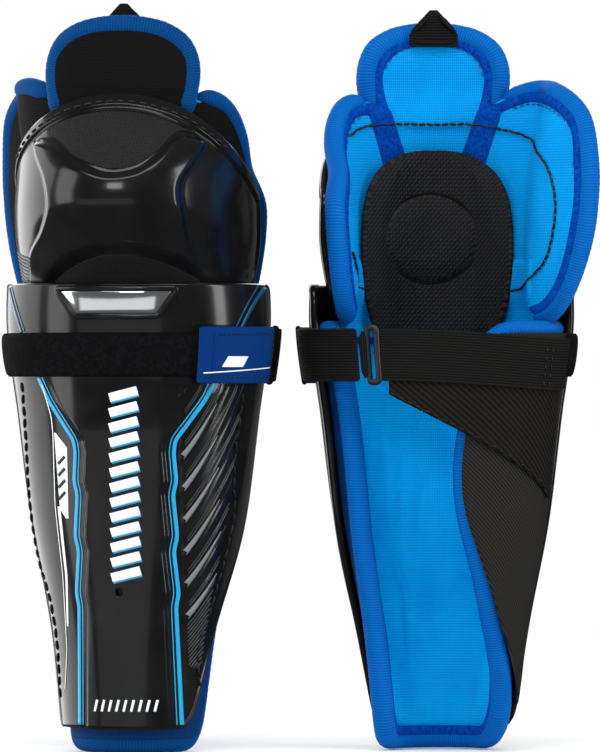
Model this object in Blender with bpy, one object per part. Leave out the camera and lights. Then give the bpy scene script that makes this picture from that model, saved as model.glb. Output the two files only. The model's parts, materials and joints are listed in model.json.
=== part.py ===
"""A pair of youth ice hockey shin guards, standing upright side by side.

Each guard is built in its own frame: +X is the inner side of the leg, -Y the front, +Z up, and
Z = 0 the surface that it stands on. Most pieces are curved slabs wrapped round the leg's axis.
A place on a wrap is an angle from the front, positive towards the inner side, and a height.
"""

import math

import bpy
import bmesh
from mathutils import Vector

MM = 0.001

# Where the two guards stand, in metres and degrees: guard 1 shows its front, guard 2 its inside.
GUARDS = {
    "guard1": {"place": (-0.0773, 0.0, 0.0), "turn": -10.0},
    "guard2": {"place": (0.0677, 0.0, 0.0), "turn": 185.0},
}

# Wraps: height, half width, depth in front of the axis, depth behind it. All in millimetres.
SHIN_WRAP = (
    (0, 35.5, 39, 26),
    (60, 42, 44, 31),
    (113, 52, 48, 37),
    (160, 58, 52, 40),
    (205, 63.5, 57, 41),
    (226, 63, 60, 41),
)
CUP_WRAP = (
    (214, 53, 51, 38),
    (228, 56, 56, 40),
    (243, 58, 72, 40),
    (258, 58, 84, 40),
    (275, 57, 82, 40),
    (294, 56, 68, 40),
    (312, 54, 52, 40),
)
KNEE_WRAP = ((200, 53, 50, 38), (226, 54, 50, 40), (258, 56, 54, 40), (314, 54.5, 47, 40))
MESH_WRAP = ((196, 44, 33, 30), (246, 44, 36, 30), (290, 44, 36, 30))
THIGH_WRAP = ((318, 60, 47, 40), (350, 60, 44, 40))

# Edges of the shin pieces: height, lateral angle, medial angle.
SHELL_EDGES = ((12, 78, 55), (60, 91, 74), (113, 102, 96), (177, 104, 101), (222, 100, 98))
LINER_EDGES = ((4, 74, 78), (24, 98, 86), (58, 135, 93), (82, 152, 102), (110, 167, 109), (200, 160, 110))

SHELL_WALL = 3.0
GAP = 0.35
LINER_GAP = 1.3
FOAM = 10.0
BINDING = 4.0
BELT_OFFSET = 0.6
BELT_THICK = 1.6
BAND_BOTTOM = 177.0
BAND_TOP = 201.0
VENT_HEIGHT = 76.6
VENT_RADIUS = 2.3
SHELL_BOTTOM = 12.5
SHELL_TOP = 222.0
CUP_BOTTOM = 215.0
CUP_SIDE_TOP = 268.0
CUP_ARC = 44.0
KNEE_PAD_RADIUS = 21.5
KNEE_PAD_HEIGHT = 246.0
THIGH_HALF = 32.0
THIGH_BOTTOM = 322.5
THIGH_TOP = 345.0
TAB_HALF = 13.0
TAB_TOP = 355.0

# Joint axes in a guard's own frame, in millimetres.
AXES = {
    "knee": (0.0, -25.0, 222.0),
    "thigh": (0.0, -43.5, 316.0),
    "hang_tab": (0.0, -34.0, 338.0),
    "lateral_wing": (-56.5, 8.0, 260.0),
    "medial_wing": (56.5, 8.0, 260.0),
    "band": (-56.0, 18.0, 189.0),
    "ring": (37.0, 36.0, 189.0),
}
# Each side wing: which side, its lean outwards, how far it reaches, and its top and bottom edges.
WINGS = {
    "lateral": {
        "side": -1.0,
        "lean": 34.0,
        "reach": 27.0,
        "top": ((0, 307), (9, 303), (18, 292), (27, 272)),
        "bottom": ((0, 231), (8, 222), (16, 225), (27, 243)),
    },
    "medial": {
        "side": 1.0,
        "lean": 7.0,
        "reach": 22.0,
        "top": ((0, 280), (9, 275), (16, 268), (22, 256)),
        "bottom": ((0, 231), (8, 222), (14, 225), (22, 238)),
    },
}
WING_START = 6.0
# The knee liner's top edge, from the lateral side to the medial side: angle, height.
KNEE_LINER_TOP = ((-96, 308), (-60, 312), (-40, 313.5), (40, 312), (62, 301), (76, 286), (96, 276))

COLOURS = {
    "gloss_black": ((0.006, 0.006, 0.007, 1), 0.12, 0.0),
    "chrome": ((0.75, 0.76, 0.78, 1), 0.12, 1.0),
    "blue_knit": ((0.01, 0.17, 0.62, 1), 0.85, 0.0),
    "blue_binding": ((0.004, 0.06, 0.30, 1), 0.8, 0.0),
    "black_fabric": ((0.012, 0.011, 0.011, 1), 0.9, 0.0),
    "black_elastic": ((0.015, 0.015, 0.016, 1), 0.75, 0.0),
    "foam": ((0.05, 0.05, 0.055, 1), 0.95, 0.0),
    "black_plastic": ((0.01, 0.01, 0.01, 1), 0.4, 0.0),
    "tab_fabric": ((0.008, 0.14, 0.55, 1), 0.7, 0.0),
}


def clear_scene():
    for obj in list(bpy.data.objects):
        bpy.data.objects.remove(obj, do_unlink=True)


def material(name):
    """The named material, made once and shared by both guards."""
    if name in bpy.data.materials:
        return bpy.data.materials[name]
    colour, roughness, metallic = COLOURS[name]
    made = bpy.data.materials.new(name)
    made.use_nodes = True
    shader = made.node_tree.nodes["Principled BSDF"]
    shader.inputs["Base Color"].default_value = colour
    shader.inputs["Roughness"].default_value = roughness
    shader.inputs["Metallic"].default_value = metallic
    made.diffuse_color = colour
    return made


def along(rows, key):
    """The other columns of rows, read at key along the first one, with straight runs between."""
    if key <= rows[0][0]:
        return rows[0][1:]
    for low, high in zip(rows, rows[1:]):
        if key <= high[0]:
            share = (key - low[0]) / (high[0] - low[0])
            return [a + (b - a) * share for a, b in zip(low[1:], high[1:])]
    return rows[-1][1:]


def on_wrap(wrap, angle, height, offset):
    """The point at this angle and height, this far outside the wrap, in millimetres."""
    width, front, rear = along(wrap, height)
    turn = math.radians(angle)
    depth = front if math.cos(turn) >= 0 else rear
    return Vector(((width + offset) * math.sin(turn), -(depth + offset) * math.cos(turn), height))


def blend(a, b, share):
    return a + (b - a) * share


def add_object(name, verts, faces, look, parent, smooth=True):
    """A closed mesh object from millimetre points in the guard's frame, moved to its parent's axis."""
    mesh = bpy.data.meshes.new(name)
    origin = parent["axis_mm"]
    mesh.from_pydata([[(c - o) * MM for c, o in zip(v, origin)] for v in verts], [], faces)
    work = bmesh.new()
    work.from_mesh(mesh)
    bmesh.ops.recalc_face_normals(work, faces=work.faces)
    work.to_mesh(mesh)
    work.free()
    for polygon in mesh.polygons:
        polygon.use_smooth = smooth
    mesh.materials.append(material(look))
    obj = bpy.data.objects.new(parent["guard"] + "_" + name, mesh)
    obj.parent = parent
    bpy.context.scene.collection.objects.link(obj)
    return obj


def slab(name, inner, outer, columns, rows, look, parent):
    """A closed sheet between two surfaces. inner and outer give a point from u and v, both 0 to 1."""
    verts = []
    for surface in (inner, outer):
        for j in range(rows + 1):
            for i in range(columns + 1):
                verts.append(surface(i / columns, j / rows))
    line = columns + 1
    layer = line * (rows + 1)
    faces = []
    for j in range(rows):
        for i in range(columns):
            corner = j * line + i
            ring = (corner, corner + 1, corner + 1 + line, corner + line)
            faces.append(ring)
            faces.append([k + layer for k in reversed(ring)])
    border = [i for i in range(line)]
    border += [j * line + columns for j in range(1, rows + 1)]
    border += [rows * line + i for i in range(columns - 1, -1, -1)]
    border += [j * line for j in range(rows - 1, 0, -1)]
    for a, b in zip(border, border[1:] + border[:1]):
        faces.append((a, a + layer, b + layer, b))
    return add_object(name, verts, faces, look, parent)


def rim(name, outline, look, parent, smooth=True):
    """A closed loop with four corners at each step: outline is a list of four-point sections."""
    verts = [corner for section in outline for corner in section]
    faces = []
    count = len(outline)
    for i in range(count):
        here = 4 * i
        after = 4 * ((i + 1) % count)
        for k in range(4):
            following = (k + 1) % 4
            faces.append((here + k, here + following, after + following, after + k))
    return add_object(name, verts, faces, look, parent, smooth)


def border_steps(columns, rows):
    """(u, v) round the border of a patch, once."""
    steps = [(i / columns, 0.0) for i in range(columns)]
    steps += [(1.0, j / rows) for j in range(rows)]
    steps += [(1 - i / columns, 1.0) for i in range(columns)]
    steps += [(0.0, 1 - j / rows) for j in range(rows)]
    return steps


def border_sign(share):
    """-1 on a patch's low border, 1 on its high border, 0 between."""
    return {0.0: -1, 1.0: 1}.get(share, 0)


def wrapped_patch(wrap, left, right, bottom, top):
    """A patch of a wrap. left and right give angles at a height, bottom and top heights at an angle."""

    def place(u, v, offset, grow=0.0):
        middle = blend(left(0.5, v), right(0.5, v), u)
        height = blend(bottom(middle), top(middle), v)
        swing = math.degrees(grow / along(wrap, height)[0])
        angle = blend(left(height, v), right(height, v), u) + swing * border_sign(u)
        return on_wrap(wrap, angle, height + grow * border_sign(v), offset)

    return place


def plain_patch(wrap, left, right, bottom, top):
    """A patch between two angles and two heights."""
    return wrapped_patch(wrap, lambda h, v: left, lambda h, v: right, lambda a: bottom, lambda a: top)


def patch_slab(name, place, low, high, columns, rows, look, parent):
    """A slab on a patch, from one offset to another."""
    return slab(
        name,
        lambda u, v: place(u, v, low),
        lambda u, v: place(u, v, high),
        columns,
        rows,
        look,
        parent,
    )


def patch_rim(name, place, low, high, columns, rows, look, parent, near=GAP, far=GAP + BINDING):
    """A binding round a patch, between two distances outside its border."""
    outline = []
    for u, v in border_steps(columns, rows):
        outline.append(
            (
                place(u, v, low, near),
                place(u, v, low, far),
                place(u, v, high, far),
                place(u, v, high, near),
            )
        )
    return rim(name, outline, look, parent)


def axis_empty(guard, name, parent):
    """An empty on a joint's axis. Its children are placed from it."""
    empty = bpy.data.objects.new(guard + "_" + name + "_axis", None)
    axis = AXES[name]
    base = parent["axis_mm"]
    empty["axis_mm"] = axis
    empty["guard"] = guard
    empty.parent = parent
    empty.location = [(a - b) * MM for a, b in zip(axis, base)]
    bpy.context.scene.collection.objects.link(empty)
    return empty


def shell_edge(side):
    """The shell's edge angle at a height, lateral or medial."""
    column = 0 if side < 0 else 1
    return lambda height, v: side * along(SHELL_EDGES, height)[column]


def liner_edge(side):
    column = 0 if side < 0 else 1
    return lambda height, v: side * along(LINER_EDGES, height)[column]


def shin_shell(root):
    """The shin's hard shell, with its vent hole cut through."""

    def place(u, v, offset):
        height = blend(SHELL_BOTTOM, SHELL_TOP, v)
        angle = blend(shell_edge(-1)(height, v), shell_edge(1)(height, v), u)
        return on_wrap(SHIN_WRAP, angle, height, offset)

    shell = patch_slab("shin_shell", place, -SHELL_WALL, 0.0, 16, 8, "gloss_black", root)
    bpy.ops.mesh.primitive_cylinder_add(
        vertices=12, radius=VENT_RADIUS * MM, depth=30 * MM, rotation=(math.pi / 2, 0, 0)
    )
    cutter = bpy.context.object
    cutter.name = root["guard"] + "_vent_cutter"
    cutter.parent = root
    cutter.location = (0, -45 * MM, VENT_HEIGHT * MM)
    cutter.hide_render = True
    cutter.display_type = "WIRE"
    cut = shell.modifiers.new("vent", "BOOLEAN")
    cut.operation = "DIFFERENCE"
    cut.object = cutter


def badge(root):
    """The bezel at the shell's top edge and the plate set on it."""
    for name, top_half, bottom_half, low, high, thick, look in (
        ("badge_frame", 30.0, 20.6, 206.0, 221.5, (0.9, 2.4), "black_plastic"),
        ("badge_plate", 26.3, 19.5, 207.8, 219.7, (3.0, 4.0), "chrome"),
    ):

        def place(u, v, offset):
            height = blend(low, high, v)
            half = blend(bottom_half, top_half, v)
            width = along(SHIN_WRAP, height)[0]
            angle = math.degrees(math.asin(half / width))
            return on_wrap(SHIN_WRAP, blend(-angle, angle, u), height, offset)

        patch_slab(name, place, *thick, 6, 1, look, root)


def shin_liner(root):
    """The foam liner, its sewn edge binding, and the dark fabric behind the shell's outer edge."""
    place = wrapped_patch(
        SHIN_WRAP, liner_edge(-1), liner_edge(1), lambda a: BINDING + GAP, lambda a: 199.5
    )
    outer = -SHELL_WALL - LINER_GAP
    inner = outer - FOAM
    patch_slab("shin_liner", place, inner, outer, 18, 9, "blue_knit", root)
    patch_rim("shin_binding", place, inner, outer, 18, 9, "blue_binding", root, 1.3)

    def wrap_place(u, v, offset):
        height = blend(22.0, 199.0, v)
        start = liner_edge(-1)(height, v) - 4.0
        end = shell_edge(-1)(height, v) - 1.2
        return on_wrap(SHIN_WRAP, blend(start, end, u), height, offset)

    patch_slab("calf_wrap", wrap_place, outer + 0.9, -0.2, 6, 9, "black_fabric", root)


def front_straps(root):
    """The loop strip across the shell."""
    strip = plain_patch(SHIN_WRAP, -112.5, 84.0, 179.0, 199.0)
    patch_slab("loop_strip", strip, GAP, 2.0, 18, 1, "black_fabric", root)


def calf_strap(band_axis, ring_axis):
    """The elastic band, its gusset and its ring, and the strap and tab that fasten it in front."""
    band = plain_patch(SHIN_WRAP, -209.0, -114.0, BAND_BOTTOM, BAND_TOP)
    patch_slab("elastic_band", band, BELT_OFFSET, BELT_OFFSET + BELT_THICK, 9, 1, "black_elastic", band_axis)

    def gusset(u, v, offset):
        low = blend(170.0, 121.0, u)
        height = blend(low, BAND_BOTTOM - 0.5, v)
        return on_wrap(SHIN_WRAP, blend(-207.0, -114.0, u), height, offset)

    patch_slab("calf_gusset", gusset, BELT_OFFSET, BELT_OFFSET + 1.0, 9, 2, "black_elastic", band_axis)
    ring = plain_patch(SHIN_WRAP, -217.0, -212.5, BAND_BOTTOM - 1.5, BAND_TOP + 1.5)
    patch_rim("strap_ring", ring, BELT_OFFSET, BELT_OFFSET + 2.6, 1, 2, "black_plastic", band_axis, GAP, 2.8)
    strap = plain_patch(SHIN_WRAP, 84.0, 139.0, BAND_BOTTOM, BAND_TOP)
    patch_slab("tab_strap", strap, 4.2, 5.8, 6, 1, "black_elastic", ring_axis)
    hook = plain_patch(SHIN_WRAP, 34.0, 80.0, 178.0, 200.0)
    patch_slab("hook_patch", hook, 2.4, 3.8, 5, 1, "black_fabric", ring_axis)
    tab = plain_patch(SHIN_WRAP, 28.0, 83.3, 176.5, 201.5)
    patch_slab("pull_tab", tab, 4.2, 6.0, 6, 1, "tab_fabric", ring_axis)


def cup_top(angle):
    """The cup's arched top edge."""
    return CUP_SIDE_TOP + CUP_ARC * max(0.0, math.cos(math.radians(angle)))


def knee_cup(knee):
    """The hard knee cup, the foam in it, and the liner behind it."""
    cup = wrapped_patch(
        CUP_WRAP, lambda h, v: -97.0, lambda h, v: 97.0, lambda a: CUP_BOTTOM, cup_top
    )
    patch_slab("knee_cap", cup, -SHELL_WALL, 0.0, 16, 8, "gloss_black", knee)

    def foam(wrap, offset):
        def place(u, v):
            angle = blend(-62.0, 62.0, u)
            height = blend(229.0, cup_top(angle) - 7.0, v)
            return on_wrap(wrap, angle, height, offset)

        return place

    inside = foam(KNEE_WRAP, -1.5)
    under = foam(CUP_WRAP, -6.0)
    slab("knee_foam", inside, under, 8, 5, "foam", knee)

    liner = wrapped_patch(
        KNEE_WRAP,
        lambda h, v: -96.0,
        lambda h, v: 96.0,
        lambda a: 227.0,
        lambda a: along(KNEE_LINER_TOP, a)[0],
    )
    patch_slab("knee_liner", liner, -11.5, -SHELL_WALL - 0.5, 14, 5, "blue_knit", knee)


def knee_pads(knee):
    """The mesh pad against the knee, and the round pad sewn on it."""
    mesh_pad = wrapped_patch(
        MESH_WRAP,
        lambda h, v: -54.0,
        lambda h, v: 54.0,
        lambda a: 199.0 + 12.0 * (abs(a) / 54.0) ** 3,
        lambda a: 287.0 - 22.0 * (abs(a) / 54.0) ** 2.5,
    )
    patch_slab("knee_mesh_pad", mesh_pad, -5.0, -0.5, 10, 5, "black_fabric", knee)
    bpy.ops.mesh.primitive_cylinder_add(
        vertices=24, radius=KNEE_PAD_RADIUS * MM, depth=5 * MM, rotation=(math.pi / 2, 0, 0)
    )
    pad = bpy.context.object
    pad.name = knee["guard"] + "_knee_centre_pad"
    pad.data.materials.append(material("black_fabric"))
    pad.parent = knee
    axis = knee["axis_mm"]
    pad.location = (0, (-23.0 - axis[1]) * MM, (KNEE_PAD_HEIGHT - axis[2]) * MM)
    for polygon in pad.data.polygons:
        polygon.use_smooth = True


def wing(name, axis):
    """A padded flap beside the knee: pad, outer panel and binding."""
    shape = WINGS[name]
    side = shape["side"]
    lean = math.radians(shape["lean"])
    start = AXES[name + "_wing"]
    run = Vector((side * math.sin(lean), math.cos(lean), 0))
    outward = Vector((side * math.cos(lean), -math.sin(lean), 0))

    def place(u, v, offset, grow=0.0):
        reach = blend(WING_START, shape["reach"], u)
        height = blend(along(shape["bottom"], reach)[0], along(shape["top"], reach)[0], v)
        flat = Vector((start[0], start[1], height + grow * border_sign(v)))
        return flat + run * (reach + grow * border_sign(u)) + outward * offset

    patch_slab(name + "_wing_pad", place, -9.0, -0.5, 4, 5, "blue_knit", axis)
    patch_slab(name + "_wing_panel", place, GAP - 0.5, 1.2, 4, 5, "black_fabric", axis)

    patch_rim(name + "_wing_binding", place, -9.0, 1.2, 4, 5, "blue_binding", axis)


def thigh_flap(thigh, tab_axis):
    """The flap above the knee, with its front panel, binding and hang tab."""
    half = math.degrees(math.asin(THIGH_HALF / 60.0))

    def arch(drop):
        return lambda angle: THIGH_TOP - drop * (abs(angle) / half) ** 3

    def flap(reach, bottom, top):
        return wrapped_patch(
            THIGH_WRAP, lambda h, v: -reach, lambda h, v: reach, lambda a: bottom, top
        )

    pad = flap(half, THIGH_BOTTOM, arch(13.0))
    panel = flap(half - 3.0, THIGH_BOTTOM, arch(15.0))
    patch_slab("thigh_pad", pad, -6.0, 4.0, 10, 3, "blue_knit", thigh)
    patch_slab("thigh_panel", panel, 4.0 + GAP, 5.6, 10, 2, "black_fabric", thigh)
    patch_rim("thigh_binding", pad, -6.0, 4.0, 10, 3, "blue_binding", thigh, 0.9)

    def tab(u, v, offset):
        width = along(((0.0, TAB_HALF), (0.35, TAB_HALF), (1.0, 2.5)), v)[0]
        angle = math.degrees(math.asin(width / 60.0))
        return on_wrap(THIGH_WRAP, blend(-angle, angle, u), blend(338.5, TAB_TOP, v), offset)

    patch_slab("hang_tab", tab, -8.2, -6.4, 4, 4, "black_elastic", tab_axis)


def build_guard(guard, place, turn):
    root = bpy.data.objects.new(guard, None)
    root["axis_mm"] = (0.0, 0.0, 0.0)
    root["guard"] = guard
    root.location = place
    root.rotation_euler = (0, 0, math.radians(turn))
    bpy.context.scene.collection.objects.link(root)
    knee = axis_empty(guard, "knee", root)
    thigh = axis_empty(guard, "thigh", knee)
    band = axis_empty(guard, "band", root)
    shin_shell(root)
    badge(root)
    shin_liner(root)
    front_straps(root)
    calf_strap(band, axis_empty(guard, "ring", band))
    knee_cup(knee)
    knee_pads(knee)
    for name in WINGS:
        wing(name, axis_empty(guard, name + "_wing", knee))
    thigh_flap(thigh, axis_empty(guard, "hang_tab", thigh))


def main():
    clear_scene()
    for guard, pose in GUARDS.items():
        build_guard(guard, pose["place"], pose["turn"])


main()
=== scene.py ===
"""The looks of a pair of ice hockey shin guards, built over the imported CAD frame.

Every piece is made once in a guard's own frame, in millimetres: +X is the inner side of the leg,
-Y the front, +Z up. Each guard then gets an object that shares that mesh.
"""

import json
import math

import bmesh
import bpy
import numpy as np
from mathutils import Matrix, Vector


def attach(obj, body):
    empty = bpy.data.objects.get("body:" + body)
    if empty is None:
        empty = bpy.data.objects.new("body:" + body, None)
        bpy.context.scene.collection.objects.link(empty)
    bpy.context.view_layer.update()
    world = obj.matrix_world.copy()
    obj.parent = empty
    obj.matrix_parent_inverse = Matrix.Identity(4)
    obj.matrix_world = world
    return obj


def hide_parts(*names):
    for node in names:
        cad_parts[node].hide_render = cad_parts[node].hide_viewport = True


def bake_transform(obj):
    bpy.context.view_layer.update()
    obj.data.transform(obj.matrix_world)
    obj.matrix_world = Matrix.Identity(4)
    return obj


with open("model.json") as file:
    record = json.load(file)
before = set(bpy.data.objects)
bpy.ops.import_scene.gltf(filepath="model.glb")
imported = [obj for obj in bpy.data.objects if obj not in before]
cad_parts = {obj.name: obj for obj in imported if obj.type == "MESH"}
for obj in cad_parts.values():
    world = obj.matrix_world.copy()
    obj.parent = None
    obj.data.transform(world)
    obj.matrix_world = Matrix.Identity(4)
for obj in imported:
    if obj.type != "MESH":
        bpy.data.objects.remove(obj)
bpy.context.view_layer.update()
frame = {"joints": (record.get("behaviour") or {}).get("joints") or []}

MM = 0.001
GUARDS = ("guard1", "guard2")

# Wraps, as in the CAD: height, half width, depth in front, depth behind, in millimetres.
SHIN = (
    (0, 35.5, 39, 26),
    (60, 42, 44, 31),
    (113, 52, 48, 37),
    (160, 58, 52, 40),
    (205, 63.5, 57, 41),
    (226, 63, 60, 41),
)
CUP = (
    (214, 53, 51, 38),
    (228, 56, 55, 40),
    (243, 58, 71, 40),
    (258, 58, 83, 40),
    (275, 57, 82, 40),
    (294, 56, 69, 40),
    (312, 54, 51, 40),
)
UPPER = (
    (196, 48.5, 45.5, 38),
    (226, 50, 46.5, 40),
    (258, 52, 50, 40),
    (285, 54.5, 48, 40),
    (300, 57, 46, 40),
    (320, 59, 45, 40),
)
MESH = ((196, 43.5, 32.5, 30), (246, 43.5, 35.5, 30), (290, 43.5, 35.5, 30))
THIGH_WIDTH = 60.0
THIGH_DEPTH = ((300, 47.5), (318, 47), (350, 44))

# The side edges of the shell and the liner: height, left angle, right angle, in degrees.
SHELL_EDGES = ((12, 78, 55), (60, 91, 74), (113, 102, 96), (177, 104, 101), (222, 100, 98))
LINER_EDGES = (
    (4, 74, 78), (24, 98, 86), (58, 135, 93), (82, 152, 102), (110, 167, 109), (200, 160, 110),
)
SHELL_WALL = 3.0
LINER_OUT = -4.4
LINER_IN = -14.2
CUP_BOTTOM = 215.0
BAND_FALL = 4.5
SHELL_BOTTOM = 12.5
VENT_HEIGHT = 76.6
LINER_TOP = 199.0
CUP_REACH = 97.0  # the angle of the knee cap's side edges, in degrees from the front
CLOTH = 0.1  # material coordinates for each millimetre
CLOTH_FRAMES = 20
ROLL_SIDES = 16
RIM_RIBS = 0.012
SEWN = (2.6, 1.5, 0.4)  # length, gap and radius of the liner's stitches

# The line of the printed stripes, from the shell's top edge down: sideways distance, height.
STRIPE = (
    (60.5, 221),
    (53, 202),
    (42.5, 178),
    (37, 167),
    (24.3, 148.5),
    (23.4, 143),
    (24.4, 129),
    (22.8, 123),
    (24.3, 103),
    (22.6, 96),
    (24.3, 76),
    (23, 69.5),
    (24.2, 13.2),
)
MIDDLE = 2.2
PANEL_RISE = 1.9
RIBS_FROM = 28.0
RIB_PITCH = 15.2
RIB_RISE = 0.85


# ---------------------------------------------------------------- numbers


def unit(vectors):
    return vectors / np.linalg.norm(vectors, axis=-1, keepdims=True)


def run_length(points):
    """The distance along a polyline at each of its points."""
    return np.concatenate([[0], np.cumsum(np.linalg.norm(np.diff(points, axis=0), axis=1))])


def pairs(a, b):
    return np.stack([a, b], -1)


def smooth_rows(rows, key):
    """The other columns of rows at key, read from a smooth curve through them."""
    table = np.array(rows, float)
    x, y = table[:, 0], table[:, 1:]
    key = np.clip(np.asarray(key, float), x[0], x[-1])
    slope = np.gradient(y, x, axis=0)
    i = np.clip(np.searchsorted(x, key) - 1, 0, len(x) - 2)
    step = (x[i + 1] - x[i])[..., None]
    t = (key[..., None] - x[i][..., None]) / step
    a = (1 + 2 * t) * (1 - t) ** 2 * y[i] + t * (1 - t) ** 2 * step * slope[i]
    return a + t * t * (3 - 2 * t) * y[i + 1] + t * t * (t - 1) * step * slope[i + 1]


def linear(rows, key):
    """The second column of rows at key, with straight runs between."""
    table = np.array(rows, float)
    order = np.argsort(table[:, 0])
    return np.interp(key, table[order, 0], table[order, 1])


def step(low, high, value):
    """A smooth step from 0 at low to 1 at high."""
    t = np.clip((np.asarray(value, float) - low) / (high - low), 0, 1)
    return t * t * (3 - 2 * t)


def stack(x, y, z):
    return np.stack(np.broadcast_arrays(x, y, z), axis=-1)


# ---------------------------------------------------------------- surfaces


def on_wrap(rows, angle, height, offset):
    """Points of a wrap, at an angle in degrees from the front and a height."""
    values = smooth_rows(rows, height)
    turn = np.radians(angle)
    depth = np.where(np.cos(turn) >= 0, values[..., 1], values[..., 2])
    x = (values[..., 0] + offset) * np.sin(turn)
    return stack(x, -(depth + offset) * np.cos(turn), height)


def shin(angle, height, offset):
    return on_wrap(SHIN, angle, height, offset)


def mesh_wrap(angle, height, offset):
    return on_wrap(MESH, angle, height, offset)


def thigh(side, height, offset):
    """Points of the thigh flap, at a sideways distance."""
    turn = np.arcsin(np.clip(np.asarray(side, float) / THIGH_WIDTH, -1, 1))
    depth = linear(THIGH_DEPTH, height) + offset
    return stack((THIGH_WIDTH + offset) * np.sin(turn), -depth * np.cos(turn), height)


WING_FROM = 88.0
WING_LEAN = {-1: math.radians(37.0), 1: math.radians(14.0)}


def upper(side):
    """The surface of the knee liner and its wing on one side, at a distance along it."""
    lean = WING_LEAN[side]

    def place(run, height, offset):
        run = np.asarray(run, float)
        round_part = on_wrap(UPPER, side * run * 97.0 / WING_FROM, height, offset)
        corner = on_wrap(UPPER, side * 97.0, height, 0.0)
        beyond = run - WING_FROM
        flat = stack(
            corner[..., 0] + side * (beyond * math.sin(lean) + offset * math.cos(lean)),
            corner[..., 1] + beyond * math.cos(lean) - offset * math.sin(lean),
            height,
        )
        share = step(64.0, 106.0, run)[..., None]
        return round_part * (1 - share) + flat * share

    return place


def stripe_edge(height):
    return linear([(z, x) for x, z in STRIPE], height)


def rib_phase(out, z):
    """Which height beside the stripe the moulded rib through a point starts from."""
    return z - 1.25 * out - 0.026 * out * out


def relief(x, z):
    """How far the shell's face stands out of its plain wrap."""
    half = smooth_rows(SHIN, z)[..., 0]
    inside = stripe_edge(z) - 3.4 - np.abs(x - MIDDLE)
    rise = PANEL_RISE * step(0.0, 2.6, inside) * (1 - step(152, 180, z))
    out = x - RIBS_FROM
    phase = rib_phase(out, z)
    saw = np.mod(phase / RIB_PITCH, 1.0)
    tooth = step(0.0, 0.07, saw) - 0.45 * step(0.4, 0.47, saw) - 0.55 * step(0.9, 1.0, saw)
    area = step(0.0, 1.5, out) * (1 - step(171, 176, z)) * step(60.0, 61.0, phase)
    area = area * (1 - step(half - 8.0, half - 3.0, x))
    flute = x - MIDDLE - stripe_edge(z)
    ridges = np.sin(math.pi * np.clip((flute - 2.0) / 3.4, 0, 2)) ** 2 * step(198, 200, z)
    ridges = ridges * (1 - step(half - 7.0, half - 3.0, x))
    return rise + RIB_RISE * tooth * area + 0.8 * ridges


def face_angle(rows, x, z):
    """The angle round a wrap, in degrees, at a sideways distance."""
    half = smooth_rows(rows, z)[..., 0]
    return np.degrees(np.arcsin(np.clip(np.asarray(x, float) / half, -0.999, 0.999)))


def shell_face(x, z, lift):
    """Points on the shell's face at a sideways distance and a height, relief included."""
    return shin(face_angle(SHIN, x, z), z, relief(x, z) + lift)


# ---------------------------------------------------------------- mesh making


def fetch(items, key, width, kind=float):
    """One property of every item, as rows of numbers."""
    values = np.empty(len(items) * width, kind)
    items.foreach_get(key, values)
    return values.reshape(-1, width)


def make_mesh(points, faces, uv=None):
    """A smooth mesh. points are in millimetres, and uv says where each lies on the cloth."""
    mesh = bpy.data.meshes.new("piece")
    mesh.from_pydata((np.asarray(points, float) * MM).tolist(), [], faces)
    mesh.validate()
    if uv is not None:
        layer = mesh.uv_layers.new(name="span")
        corner = fetch(mesh.loops, "vertex_index", 1, np.int32)[:, 0]
        layer.data.foreach_set("uv", np.asarray(uv, np.float32)[corner].ravel())
    mesh.polygons.foreach_set("use_smooth", [True] * len(mesh.polygons))
    return mesh


def border_of(rows, columns):
    """Vertex numbers round the border of a grid, counterclockwise."""
    line = columns + 1
    ring = list(range(columns + 1))
    ring += [j * line + columns for j in range(1, rows + 1)]
    ring += [rows * line + i for i in range(columns - 1, -1, -1)]
    ring += [j * line for j in range(rows - 1, 0, -1)]
    return ring


def pad_mesh(outer, inner, span, turns=4, bulge=1.0):
    """A closed mesh between two grids of points, with a rounded edge. span gives their (u, v)."""
    rows, columns = outer.shape[0] - 1, outer.shape[1] - 1
    top, base = outer.reshape(-1, 3), inner.reshape(-1, 3)
    span = span.reshape(-1, 2) * CLOTH
    line = columns + 1
    count = len(top)
    points, uv = [top, base], [span, span]
    corner = np.arange(rows)[:, None] * line + np.arange(columns)[None, :]
    quads = pairs(corner, corner + 1).reshape(-1, 2)
    quads = np.concatenate([quads, quads[:, ::-1] + line], -1)
    faces = quads.tolist() + (quads[:, ::-1] + count).tolist()
    ring = np.array(border_of(rows, columns))
    middle = (top[ring] + base[ring]) / 2
    half = (top[ring] - base[ring]) / 2
    out = np.cross(np.roll(middle, -1, 0) - np.roll(middle, 1, 0), half)
    out /= np.maximum(np.linalg.norm(out, axis=1, keepdims=True), 1e-9)
    inward = top[ring].mean(0) - middle
    out *= np.sign((out * -inward).sum()) or 1.0
    reach = np.linalg.norm(half, axis=1, keepdims=True) * bulge
    levels = [ring]
    for k in range(1, turns):
        turn = math.pi * k / turns
        points.append(middle + half * math.cos(turn) + out * reach * math.sin(turn))
        uv.append(span[ring])
        levels.append(2 * count + (k - 1) * len(ring) + np.arange(len(ring)))
    levels.append(ring + count)
    for low, high in zip(levels, levels[1:]):
        after_low, after_high = np.roll(low, -1), np.roll(high, -1)
        faces += np.stack([low, high, after_high, after_low], -1).tolist()
    return outward(make_mesh(np.concatenate(points), faces, np.concatenate(uv)))


def outward(mesh):
    """Turns a closed mesh's faces to the outside."""
    work = bmesh.new()
    work.from_mesh(mesh)
    bmesh.ops.recalc_face_normals(work, faces=work.faces)
    work.to_mesh(mesh)
    work.free()
    return mesh


def even_path(points, pitch, closed=False):
    """The polyline through points, at an even pitch along its length."""
    points = np.asarray(points, float)
    if closed:
        points = np.concatenate([points, points[:1]])
    length = run_length(points)
    count = max(2, int(round(length[-1] / pitch)))
    at = np.linspace(0, length[-1], count + 1)
    return along(points, length, at[:-1] if closed else at)


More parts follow.
